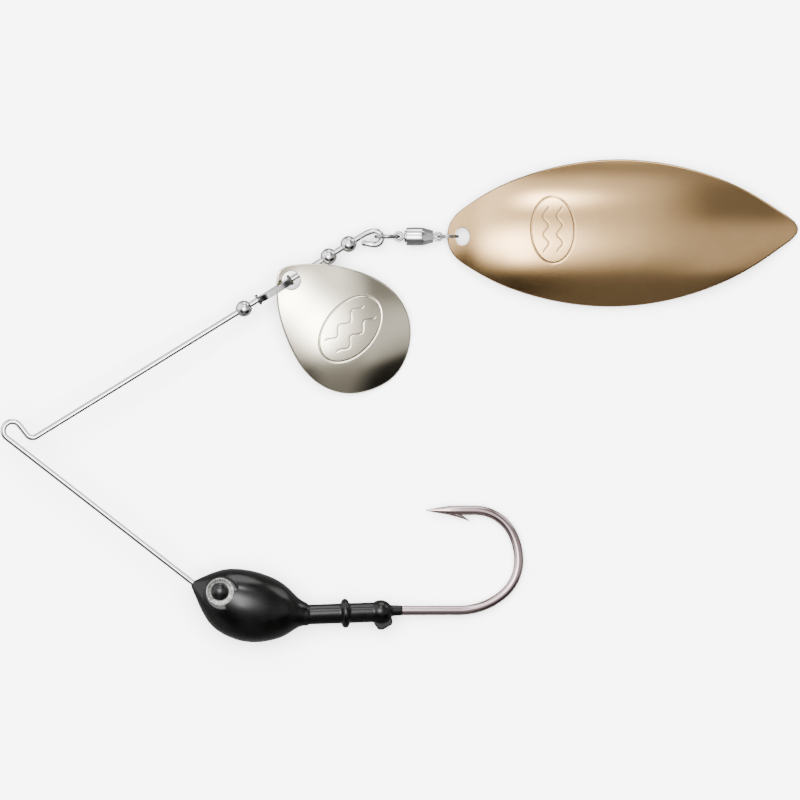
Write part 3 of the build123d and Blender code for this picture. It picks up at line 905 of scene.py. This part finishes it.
@dataclass
class Stamp:
    """The oval pressed into a blade, with two plain waves inside it in place of lettering.

    The waves run along V, each swinging about a line half of apart from the oval's middle.
    """

    centre: tuple
    half: tuple
    depth: float
    panel: float
    wave_depth: float
    swing: float
    length: float
    apart: float
    reach: float

    def wave(self, side, along):
        """How far one wave is from the oval's long axis, and its slope."""
        turn = TAU / self.length
        middle = side * self.apart / 2 + self.swing * np.sin(along * turn)
        return middle, self.swing * turn * np.cos(along * turn)

    def relief(self, u, v):
        """How far the surface is raised at a point."""
        a, b = u - self.centre[0], v - self.centre[1]
        half_a, half_b = self.half
        rho = np.hypot(a / half_a, b / half_b)
        steep = np.hypot(a / half_a**2, b / half_b**2) / np.maximum(rho, 1e-6)
        outside = (rho - 1) / np.maximum(steep, 1e-6)
        panel = self.panel * (rho**2 - 0.5) * fade(outside, PANEL_SOFTNESS)
        raised = panel - self.depth * np.exp(-((outside / OVAL_LINE) ** 2))
        for side in (-1, 1):
            middle, slope = self.wave(side, b)
            miss = (a - middle) / np.sqrt(1 + slope**2)
            ends = fade(np.abs(b) - self.reach, WAVE_END_SOFTNESS)
            raised = raised - self.wave_depth * np.exp(-((miss / WAVE_LINE) ** 2)) * ends
        return raised

    def loops(self):
        """Lines along the oval for the mesh to follow."""
        return [ellipse_loop(self.centre, self.half, 220, grow) for grow in OVAL_FLANKS]

    def lines(self):
        """Open lines beside the waves for the mesh to follow."""
        reach = self.reach + WAVE_MARGIN
        along = np.linspace(-reach, reach, int(2 * reach / WAVE_STEP))
        made = []
        for side in (-1, 1):
            middle, slope = self.wave(side, along)
            stretch = np.sqrt(1 + slope**2)
            for shift in WAVE_FLANKS:
                beside = np.stack([middle + shift / stretch, along - shift * slope / stretch], 1)
                made.append(np.array(self.centre) + beside)
        return made


def outward_of(loop):
    """Unit vectors pointing out of an anticlockwise loop."""
    along = np.roll(loop, -1, 0) - np.roll(loop, 1, 0)
    return unit(np.stack([along[:, 1], -along[:, 0]], 1))


def far_from(points, lines, gap):
    """Which points lie further than the gap from every line's points."""
    keep = np.ones(len(points), bool)
    for line in lines:
        for start in range(0, len(line), 64):
            part = line[start : start + 64]
            near = np.min(np.linalg.norm(points[:, None] - part[None], axis=2), axis=1)
            keep &= near > gap
    return keep


def inside_loop(points, loop):
    """Which points lie inside a closed loop."""
    x, y = points[:, 0], points[:, 1]
    inside = np.zeros(len(points), bool)
    for (x0, y0), (x1, y1) in zip(loop, np.roll(loop, -1, 0)):
        crosses = (y0 > y) != (y1 > y)
        with np.errstate(divide="ignore", invalid="ignore"):
            at = (x1 - x0) * (y - y0) / (y1 - y0) + x0
        inside ^= crosses & (x < at)
    return inside


RIM_POINTS, RIM_STEPS = 520, 5
HOLE_POINTS, HOLE_EDGE, HOLE_TILTS = 120, 0.13, (0.4, 0.9, math.pi / 2)
BACK_RELIEF = 0.6
# The flat mesh's rows against its columns, and how far its points keep from the edges and the marks
ROW_RATIO, EDGE_CLEARANCE, MARK_CLEARANCE = 0.866, 0.55, 0.1


def flat_mesh(low, high, edge, lip, stamp, spacing):
    """Flat triangles between a blade's edge and its hole, finer along the stamp's lines.

    Gives the points, the triangles, and the numbers of the points along the edge and the lip.
    """
    loops, lines = stamp.loops(), stamp.lines()
    grid = []
    for i, v in enumerate(np.arange(low[1], high[1], spacing * ROW_RATIO)):
        grid += [(u + (spacing / 2 if i % 2 else 0), v) for u in np.arange(low[0], high[0], spacing)]
    grid = np.array(grid)
    grid = grid[inside_loop(grid, edge) & ~inside_loop(grid, lip)]
    off_edges = far_from(grid, [edge, lip], spacing * EDGE_CLEARANCE)
    grid = grid[off_edges & far_from(grid, loops + lines, MARK_CLEARANCE)]
    edges, at = [], len(edge)
    for closed, rows in ((True, [lip] + loops), (False, lines)):
        for row in rows:
            count = len(row)
            edges += [(at + i, at + (i + 1) % count) for i in range(count if closed else count - 1)]
            at += count
    flat = [Vector(p) for p in np.vstack([edge, lip] + loops + lines + [grid])]
    out = delaunay_2d_cdt(flat, edges, [list(range(len(edge)))], 1, 1e-5, True)
    points = np.array([(v.x, v.y) for v in out[0]])
    where = {old: new for new, olds in enumerate(out[3]) for old in olds}
    centres = np.array([points[list(f)].mean(0) for f in out[2]])
    triangles = []
    for face, in_hole in zip(out[2], inside_loop(centres, lip)):
        a, b, c = points[list(face[:3])]
        facing_up = (b[0] - a[0]) * (c[1] - a[1]) - (b[1] - a[1]) * (c[0] - a[0]) > 0
        if not in_hole:
            triangles.append(tuple(face if facing_up else face[::-1]))
    ids = [where[i] for i in range(len(edge) + len(lip))]
    return points, triangles, ids[: len(edge)], ids[len(edge) :]


def blade_piece(name, half_outline, height, hole_half, stamp, spacing, place):
    """A stamped blade: exact curved faces with true normals, a half-round rim and a rounded hole."""
    half = BLADE_THICK / 2
    outline = list(half_outline) + [(u, -v) for u, v in reversed(half_outline[1:-1])]
    rim, hole = closed_spline(outline, RIM_POINTS)[::-1], ellipse_loop((0, 0), hole_half, HOLE_POINTS)
    rim_out, hole_out = outward_of(rim), -outward_of(hole)
    edge, lip = rim - half * rim_out, hole - HOLE_EDGE * hole_out
    flat, triangles, edge_ids, lip_ids = flat_mesh(rim.min(0), rim.max(0), edge, lip, stamp, spacing)

    def shell(u, v, way):
        return height(u, v) + way * half + stamp.relief(u, v) * (1.0 if way > 0 else BACK_RELIEF)

    def normal(u, v, way):
        e = 0.01
        du = (shell(u + e, v, way) - shell(u - e, v, way)) / (2 * e)
        dv = (shell(u, v + e, way) - shell(u, v - e, way)) / (2 * e)
        return unit(np.stack([-du, -dv, np.ones_like(du)], 1) * way)

    u, v = flat.T
    total = len(flat)
    points = [np.column_stack([u, v, shell(u, v, way)]) for way in (1, -1)]
    normals = [normal(u, v, way) for way in (1, -1)]
    faces = triangles + [tuple(total + k for k in f[::-1]) for f in triangles]

    def band(loop, out_2d, profile, top_ids, way):
        """Rings round a loop from the top face to the bottom one.

        profile is (inset, height, tilt) for each ring, and way is 1 round the rim and -1 in the hole.
        """
        ids = [top_ids]
        up = normal(loop[:, 0], loop[:, 1], 1)
        side = np.column_stack([out_2d, np.zeros(len(loop))])
        side = side - np.sum(side * up, axis=1)[:, None] * up
        for inset, level, tilt in profile:
            p = loop - inset * out_2d
            start = sum(len(block) for block in points)
            points.append(np.column_stack([p, height(p[:, 0], p[:, 1]) + level]))
            normals.append(unit(math.sin(tilt) * side + math.cos(tilt) * up))
            ids.append(range(start, start + len(p)))
        ids.append([total + k for k in top_ids])
        for a, b in zip(ids, ids[1:]):
            for i in range(len(loop)):
                j = (i + 1) % len(loop)
                faces.append((a[i], b[i], b[j], a[j])[::way])

    rim_tilts = [math.pi * i / (2 * RIM_STEPS) for i in range(1, 2 * RIM_STEPS)]
    rim_profile = [(half * (1 - math.sin(a)), half * math.cos(a), a) for a in rim_tilts]
    lip_profile = []
    for a in HOLE_TILTS:
        lip_profile.append((HOLE_EDGE * (1 - math.sin(a)), half - HOLE_EDGE * (1 - math.cos(a)), a))
    lip_profile += [(inset, -level, math.pi - a) for inset, level, a in reversed(lip_profile)]
    band(rim, rim_out, rim_profile, edge_ids, 1)
    band(hole, hole_out, lip_profile, lip_ids, -1)
    points, normals = np.vstack(points), np.vstack(normals)
    used = np.zeros(len(points), bool)
    used[[k for f in faces for k in f]] = True
    renumber = np.cumsum(used) - 1
    shape = Shape(points[used], [tuple(int(renumber[k]) for k in f) for f in faces])
    return write_mesh(name, shape, place, normals=normals[used])


WILLOW_STAMP = Stamp(
    centre=(14.4, 0.72), half=(3.45, 5.35), depth=0.085, panel=0.03,
    wave_depth=0.06, swing=0.42, length=2.9, apart=2.2, reach=3.6,
)
COLORADO_STAMP = Stamp(
    centre=(12.2, 0.35), half=(4.0, 6.1), depth=0.1, panel=0.06,
    wave_depth=0.07, swing=0.5, length=3.2, apart=2.6, reach=4.1,
)
WILLOW_SPACING, COLORADO_SPACING = 0.42, 0.34
ROUND_HOLE = (COLORADO_HOLE_R, COLORADO_HOLE_R)

willow_form = (WILLOW_HALF, willow_height, WILLOW_HOLE, WILLOW_STAMP, WILLOW_SPACING)
finished(blade_piece("long_blade", *willow_form, WILLOW_FRAME), "willow", ["willow_blade"], "copper_plate")
colorado_form = (COLORADO_HALF, colorado_height, ROUND_HOLE, COLORADO_STAMP, COLORADO_SPACING)
colorado = blade_piece("round_blade", *colorado_form, COLORADO_FRAME)
finished(colorado, "colorado", ["colorado_blade"], "nickel_plate")


# ---- Swivel chain ----


WELD_AT, EYE_MOUTH, EYE_NECK = 4.2, 0.42, 0.34
SPLIT_WIRE_HALF, SPLIT_OFFSET, SPLIT_END = (0.115, 0.235), 0.126, 8


def weld_ring_shape():
    """A closed wire ring with the small swelling of its weld."""
    angles = TAU * np.arange(120) / 120
    path = [(FRONT_RING_R * math.cos(a), 0, FRONT_RING_R * math.sin(a)) for a in angles]
    off = np.minimum(np.abs(angles - WELD_AT), TAU - np.abs(angles - WELD_AT))
    radii = FRONT_RING_WIRE_R * (0.97 + 0.05 * np.exp(-((off / 0.09) ** 2)))
    return tube(path, radii, closed=True, up=(0, 1, 0))


def split_ring_shape():
    """Two turns of flattened wire side by side, crossing over once."""
    turns = np.linspace(math.radians(SPLIT_END), 2 * TAU - math.radians(SPLIT_END), 240)
    step = np.clip((turns - TAU + 0.3) / 0.6, 0, 1)
    sideways = SPLIT_OFFSET * (2 * (step * step * (3 - 2 * step)) - 1)
    path = [(REAR_RING_R * math.cos(a), y, REAR_RING_R * math.sin(a)) for a, y in zip(turns, sideways)]
    wire = [np.sign(w) * np.abs(w) ** 0.6 * half for w, half in zip(circle(24), SPLIT_WIRE_HALF)]
    return tube(path, 1.0, up=(0, 1, 0), section=np.stack(wire, 1))


def wire_eye(at, ring_r, wire_r, way):
    """A swivel's eye: wire bent round, its ends brought together into a neck on the side of way."""
    angles = np.linspace(EYE_MOUTH, TAU - EYE_MOUTH, 80)
    loop = [(at + way * ring_r * math.cos(a), ring_r * math.sin(a), 0.0) for a in angles]
    neck = at + way * (ring_r + EYE_NECK)
    return tube([(neck, 0.1, 0.0)] + loop + [(neck, -0.1, 0.0)], wire_r, sides=24)


def post_shape():
    xs = np.linspace(POST_EYE_AT + POST_EYE_R - 0.02, POST_HEAD_FRONT, 40)
    twist = [(x, POST_R * (0.94 + 0.05 * math.sin(x * 14))) for x in xs]
    twist += corner(POST_HEAD_FRONT, POST_HEAD_R, 0.08, "start")
    twist += corner(POST_HEAD_BACK, POST_HEAD_R, 0.08, "end")
    eye = wire_eye(POST_EYE_AT, POST_EYE_R, POST_EYE_WIRE_R, 1)
    return eye + lathe(twist + [(POST_HEAD_BACK, 0.2)], sides=48)


def bushing_shape():
    outside = [(BUSHING_FRONT, BUSHING_HOLE_R + 0.06)]
    outside += corner(BUSHING_FRONT, BUSHING_NOSE_R, 0.14, "start")
    outside += [(BARREL_FRONT, BUSHING_NOSE_R), (BARREL_FRONT, BORE_R), (BUSHING_BACK, BORE_R)]
    inside = [(BUSHING_BACK, BUSHING_HOLE_R), (BUSHING_FRONT + 0.06, BUSHING_HOLE_R)]
    return bored(outside, inside, sides=64)


def barrel_shape():
    """A rolled lip, a turned groove, and a tail pressed into flats where it grips the eye's stem."""
    outside = [(BARREL_FRONT, BORE_R + 0.02)] + corner(BARREL_FRONT, BARREL_R, 0.16, "start", 6)
    groove = BARREL_FRONT + 0.5
    outside += [(groove - 0.1, BARREL_R), (groove - 0.05, BARREL_R - 0.05), (groove + 0.05, BARREL_R - 0.05)]
    outside += [(groove + 0.1, BARREL_R)]
    outside += [(x, BARREL_R) for x in np.linspace(groove + 0.3, BARREL_TAPER - 0.25, 6)]
    outside += [(BARREL_TAPER - 0.1, BARREL_R - 0.012), (BARREL_TAPER + 0.05, BARREL_R - 0.06)]
    for x in np.linspace(BARREL_TAPER + 0.2, BARREL_BACK - 0.1, 8):
        share = (x - BARREL_TAPER) / (BARREL_BACK - BARREL_TAPER)
        outside.append((x, BARREL_R + (BARREL_BACK_R - BARREL_R) * share))
    outside += [(BARREL_BACK - 0.03, BARREL_BACK_R - 0.01), (BARREL_BACK, BARREL_BACK_R - 0.1)]
    inside = [(BARREL_BACK, STEM_R + 0.02), (BORE_BACK, STEM_R + 0.02), (BORE_BACK, BORE_R)]
    inside += [(BARREL_FRONT + 0.02, BORE_R)]

    def flats(x, angle):
        share = min(1.0, max(0.0, (x - BARREL_TAPER + 0.1) / 0.5))
        face = TAU / 6
        off = angle % face - face / 2
        return 1 + share * (math.cos(face / 2) / math.cos(off) - 1) * 0.9

    return bored(outside, inside, sides=144, wave=flats)


def fixed_eye_shape():
    root = FIXED_EYE_AT - FIXED_EYE_R + 0.05
    stem = [(STEM_FRONT, 0.1)] + corner(STEM_FRONT, STEM_R, 0.06, "start")
    stem += [(root, STEM_R - 0.02), (root + 0.01, 0.1)]
    return wire_eye(FIXED_EYE_AT, FIXED_EYE_R, FIXED_EYE_WIRE_R, -1) + lathe(stem, sides=40)


# The small steel parts are polished steel drawn in a darker copy, as painted shade.
STEEL = ("polished_steel", "shaded_drawn_steel")
CHROME = ("chrome_plate", "chrome_plate")
for name, shape, along, body, node, (slot, material) in (
    ("weld_ring", weld_ring_shape(), 0.0, "front_ring", "ring_front", STEEL),
    ("swivel_post_wire", post_shape(), 0.0, "post", "swivel_post", STEEL),
    ("swivel_bush", bushing_shape(), 0.0, "barrel", "swivel_bushing", STEEL),
    ("swivel_body", barrel_shape(), 0.0, "barrel", "swivel_barrel", CHROME),
    ("swivel_tail_eye", fixed_eye_shape(), 0.0, "barrel", "swivel_fixed_eye", STEEL),
    ("split_ring", split_ring_shape(), REAR_RING_AT, "rear_ring", "ring_rear", STEEL),
):
    piece = write_mesh(name, outward(shape), CHAIN_FRAME @ pos(along), sharp=35)
    finished(piece, body, [node], slot, material)

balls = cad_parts["swivel_balls"]
balls.data.materials.clear()
balls.data.materials.append(MATERIALS["polished_steel"])


# ---- Camera, floor and light ----

VIEW_CENTRE, VIEW_WIDTH = (61.9 * MM, 4.9 * MM, -4.0 * MM), 0.128
LENS, SENSOR = 500.0, 36.0
FLOOR_REACH, FLOOR_GAP, FLOOR_GREY = 4.0, 0.00002, (0.86, 0.86, 0.86, 1)
FILL_AT, FILL_AIM = Vector((0.0, 0.1, 1.1)), Vector((0.062, 0.005, -0.004))
FILL_SIZE, FILL_WATTS = 1.4, 150.0


def set_camera():
    """Straight above, far away through a long lens, so that the lure is seen nearly without perspective."""
    data = bpy.data.cameras.new("camera")
    data.lens, data.sensor_width = LENS, SENSOR
    data.clip_start, data.clip_end = 0.01, 50.0
    made = in_scene("camera", data)
    made.location = Vector(VIEW_CENTRE) + Vector((0, 0, VIEW_WIDTH * LENS / SENSOR))
    bpy.context.scene.camera = made


def add_floor(z):
    far = FLOOR_REACH
    corners = [(-far, -far, z), (far, -far, z), (far, far, z), (-far, far, z)]
    mesh = plain_mesh("floor", corners, [(0, 1, 2, 3)])
    paper = Shader("floor", Base_Color=FLOOR_GREY, Roughness=0.9, Specular_IOR_Level=0.1)
    mesh.materials.append(paper.material)
    made = in_scene("floor", mesh)
    made.visible_glossy = False


# The room beyond the softbox: (direction, cosine where it starts, cosine where it is full, brightness
# or share of light taken away)
ABOVE, BELOW = (0.42, 0.415, 0.405), (0.34, 0.335, 0.33)
LIGHTS = [
    ((0.1, 1.0, 0.06), 0.93, 0.985, 4.0),
    ((0.75, 0.75, 0.04), 0.95, 0.99, 3.0),
    ((-0.95, 0.45, 0.3), 0.6, 0.92, 2.0),
]
FLAGS = [
    ((0.75, -0.66, 0.32), 0.82, 0.97, 0.97),
    ((0.1, -1.0, 0.3), 0.66, 0.95, 0.55),
    ((-0.62, -0.8, 0.8), 0.86, 0.97, 0.8),
    ((0.62, 0.5, 1.0), 0.86, 0.98, 0.4),
]


class Studio(Nodes):
    """The surroundings' brightness, worked out from the direction that light comes from."""

    def __init__(self):
        world = bpy.data.worlds.new("studio")
        bpy.context.scene.world = world
        world.use_nodes = True
        super().__init__(world.node_tree)
        self.direction = self.add("TexCoord").outputs["Generated"]

    def lobe(self, direction, start, full):
        """1 towards the direction and 0 away from it, eased between the two cosines."""
        cosine = self.vectors("DOT_PRODUCT", self.direction, Vector(direction).normalized(), "Value")
        return self.span(cosine, start, full, eased=True)

    def build(self):
        """Adds up the lights and takes away what the flags hold back."""
        light, keep = 0.0, 1.0
        for direction, start, full, bright in LIGHTS:
            glow = self.maths("MULTIPLY", self.lobe(direction, start, full), bright)
            light = self.maths("ADD", light, glow)
        for direction, start, full, depth in FLAGS:
            held = self.maths("MULTIPLY", self.lobe(direction, start, full), depth)
            keep = self.maths("MULTIPLY", keep, self.maths("SUBTRACT", 1.0, held))
        height = self.add("SeparateXYZ", {0: self.direction}).outputs["Z"]
        above = self.span(height, -0.25, 0.1, eased=True)
        colour = self.add("CombineXYZ")
        for i, (high, low) in enumerate(zip(ABOVE, BELOW)):
            base = self.maths("ADD", self.maths("MULTIPLY", above, high - low), low)
            self.put(colour.inputs[i], self.maths("MULTIPLY", self.maths("ADD", base, light), keep))
        self.put(self.tree.nodes["Background"].inputs["Color"], colour.outputs[0])


# The panels hung over the lure, in millimetres: where each starts and ends across and along, how wide
# its soft edges are, and its brightness. The cores are the lamps behind them: (place, reach, brightness).
PANEL_HEIGHT, PANEL_COLUMNS, PANEL_ROWS = 130.0, 156, 136
SOFTBOX = ((-45.0, 162.0), (-95.0, 290.0), (40.0, 88.0), (100.0, 120.0), 1.35)
CARD = ((118.0, 420.0), (-114.0, 90.0), (44.0, 60.0), (50.0, 60.0), 0.36)
CORES = [((36.0, 10.0), 27.0, 13.0), ((44.0, -25.0), 12.0, 5.0), ((60.0, 132.0), 16.0, 16.0)]


def soft_panel(places, limits, edges):
    """1 between the limits and 0 outside them, eased over the edges' widths."""
    eased = 1.0
    for distance, width in ((places - limits[0], edges[0]), (limits[1] - places, edges[1])):
        t = np.clip(distance / width, 0, 1)
        eased = eased * t * t * (3 - 2 * t)
    return eased


def add_panels():
    """A softbox and a paler card, hung close over the lure: only metal and paint mirror them."""
    xs = np.linspace(SOFTBOX[0][0], CARD[0][1], PANEL_COLUMNS)
    ys = np.linspace(CARD[1][0], SOFTBOX[1][1], PANEL_ROWS)
    starts = [j * PANEL_COLUMNS + i for j in range(PANEL_ROWS - 1) for i in range(PANEL_COLUMNS - 1)]
    faces = [(k, k + 1, k + 1 + PANEL_COLUMNS, k + PANEL_COLUMNS) for k in starts]
    mesh = plain_mesh("softbox", [(x * MM, y * MM, PANEL_HEIGHT * MM) for y in ys for x in xs], faces)
    x, y = np.meshgrid(xs, ys)
    glow = np.zeros_like(x)
    for across, along, sides, ends, bright in (SOFTBOX, CARD):
        glow += bright * soft_panel(x, across, sides) * soft_panel(y, along, ends)
    for (cx, cy), reach, bright in CORES:
        glow += bright * np.exp(-((x - cx) ** 2 + (y - cy) ** 2) / (2 * reach**2))
    values = glow.ravel().astype(np.float32)
    mesh.attributes.new("glow", "FLOAT", "POINT").data.foreach_set("value", values)
    material = bpy.data.materials.new("softbox")
    material.use_nodes = True
    nodes = Nodes(material.node_tree)
    nodes.tree.nodes.clear()
    strength = nodes.add("Attribute", attribute_name="glow").outputs["Fac"]
    lit = nodes.add("Emission", {"Strength": strength}).outputs[0]
    both = nodes.add("AddShader", {0: lit, 1: nodes.add("BsdfTransparent").outputs[0]}).outputs[0]
    nodes.add("OutputMaterial", {"Surface": both})
    mesh.materials.append(material)
    made = in_scene("softbox", mesh)
    made.visible_camera = made.visible_diffuse = made.visible_shadow = False
    made.visible_transmission = made.visible_volume_scatter = False


def add_fill():
    """A wide soft lamp above, which isn't mirrored."""
    data = bpy.data.lights.new("fill", "AREA")
    data.shape, data.size, data.energy = "SQUARE", FILL_SIZE, FILL_WATTS
    made = in_scene("fill", data)
    made.location = FILL_AT
    made.rotation_euler = (FILL_AIM - FILL_AT).to_track_quat("-Z", "Y").to_euler()
    made.visible_glossy = made.visible_camera = False


set_camera()
add_floor(CAD_BOX[0].z - FLOOR_GAP)
Studio().build()
add_panels()
add_fill()
